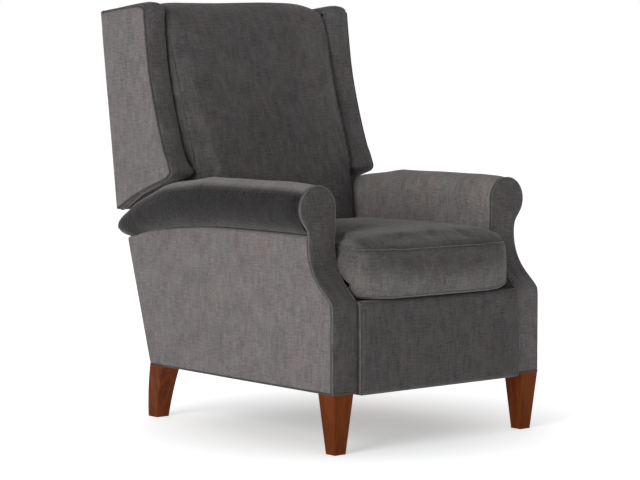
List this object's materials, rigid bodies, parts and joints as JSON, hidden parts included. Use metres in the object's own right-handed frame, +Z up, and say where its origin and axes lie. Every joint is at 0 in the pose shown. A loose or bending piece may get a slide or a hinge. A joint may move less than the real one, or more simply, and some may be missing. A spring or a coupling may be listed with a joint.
{
  "type": "wingback recliner",
  "caption": "High-leg push-back recliner with wings, rolled arms, a swinging footrest on a folding linkage and a back that reclines as the seat glides forward.",
  "frame": {"origin": "on the floor, under the middle of the chair's outer box", "axes": "+Z up and the tallest extent, -Y the way a sitter faces, +X the sitter's left and the shortest extent"},
  "size_m": [0.738, 0.963, 1.072],
  "materials": {
    "upholstery": "grey chenille, slubbed",
    "stained_wood": "brown stain, satin lacquer",
    "plain_wood": "unfinished, sawn",
    "linkage_steel": "black, satin",
    "pin_steel": "zinc plated",
    "spring_steel": "drawn wire",
    "lining": "woven deck cloth"
  },
  "bodies": {
    "base": {"left_arm_panel": "plain_wood", "right_arm_panel": "plain_wood", "left_arm_cover": "upholstery", "right_arm_cover": "upholstery", "left_arm_facing": "upholstery", "right_arm_facing": "upholstery", "front_left_leg": "stained_wood", "front_right_leg": "stained_wood", "rear_left_leg": "stained_wood", "rear_right_leg": "stained_wood", "leg_bolts": "pin_steel", "front_rail": "plain_wood", "rear_rail": "plain_wood", "lower_rear_panel": "upholstery", "left_mounting_rail": "linkage_steel", "right_mounting_rail": "linkage_steel", "mounting_pins": "pin_steel"},
    "front_swing": {"front_swing_links": "linkage_steel"},
    "rear_swing": {"rear_swing_links": "linkage_steel"},
    "seat": {"left_seat_plate": "linkage_steel", "right_seat_plate": "linkage_steel", "seat_plate_pins": "pin_steel", "seat_cross_tube": "linkage_steel", "seat_side_rails": "plain_wood", "seat_cross_rails": "plain_wood", "seat_springs": "spring_steel", "seat_deck": "lining", "seat_cushion": "upholstery"},
    "back": {"back_posts": "plain_wood", "back_rails": "plain_wood", "back_brackets": "linkage_steel", "back_springs": "spring_steel", "back_cushion": "upholstery", "left_wing": "upholstery", "right_wing": "upholstery", "left_wing_panel": "plain_wood", "right_wing_panel": "plain_wood", "outside_back": "upholstery", "outside_back_skirt": "upholstery"},
    "drive_link": {"drive_links": "linkage_steel", "drive_tube": "linkage_steel", "drive_link_pins": "pin_steel"},
    "cross_link": {"cross_links": "linkage_steel", "cross_link_pins": "pin_steel"},
    "long_link": {"long_links": "linkage_steel", "long_link_pins": "pin_steel"},
    "stay_link": {"stay_links": "linkage_steel"},
    "footrest": {"footrest_brackets": "linkage_steel", "footrest_bracket_pins": "pin_steel", "footrest_board": "plain_wood", "footrest_pad": "upholstery"}
  },
  "joints": [
    {"name": "back_recline", "type": "hinge", "parent": "seat", "child": "back", "pos_m": [0, 0.28813, 0.315], "axis": [-1, 0, 0], "range_deg": [0, 30]},
    {"name": "front_swing_turn", "type": "hinge", "parent": "base", "child": "front_swing", "pos_m": [0, -0.29185, 0.23464], "axis": [1, 0, 0], "range_deg": [0, 30]},
    {"name": "rear_swing_turn", "type": "hinge", "parent": "base", "child": "rear_swing", "pos_m": [0, -0.01185, 0.23464], "axis": [1, 0, 0], "range_deg": [0, 30]},
    {"name": "seat_glide", "type": "hinge", "parent": "front_swing", "child": "seat", "pos_m": [0, -0.20994, 0.292], "axis": [-1, 0, 0], "range_deg": [0, 30]},
    {"name": "footrest_open", "type": "hinge", "parent": "seat", "child": "drive_link", "pos_m": [0, -0.34594, 0.329], "axis": [-1, 0, 0], "range_deg": [0, 125]},
    {"name": "cross_link_turn", "type": "hinge", "parent": "seat", "child": "cross_link", "pos_m": [0, -0.40194, 0.333], "axis": [-1, 0, 0], "range_deg": [0, 122.53]},
    {"name": "long_link_turn", "type": "hinge", "parent": "drive_link", "child": "long_link", "pos_m": [0, -0.23194, 0.272], "axis": [-1, 0, 0], "range_deg": [-116.61, 0]},
    {"name": "stay_link_turn", "type": "hinge", "parent": "cross_link", "child": "stay_link", "pos_m": [0, -0.27094, 0.258], "axis": [-1, 0, 0], "range_deg": [-101.01, 0]},
    {"name": "footrest_tilt", "type": "hinge", "parent": "long_link", "child": "footrest", "pos_m": [0, -0.41794, 0.283], "axis": [-1, 0, 0], "range_deg": [0, 70.66]}
  ],
  "couplings": [
    {"joint": "front_swing_turn", "follows": "back_recline", "ratio": 1},
    {"joint": "rear_swing_turn", "follows": "back_recline", "ratio": 1},
    {"joint": "seat_glide", "follows": "back_recline", "ratio": 1},
    {"joint": "cross_link_turn", "follows": "footrest_open", "ratio": 0.97621},
    {"joint": "long_link_turn", "follows": "footrest_open", "ratio": -0.92889},
    {"joint": "stay_link_turn", "follows": "footrest_open", "ratio": -0.80411},
    {"joint": "footrest_tilt", "follows": "footrest_open", "ratio": 0.56126}
  ]
}
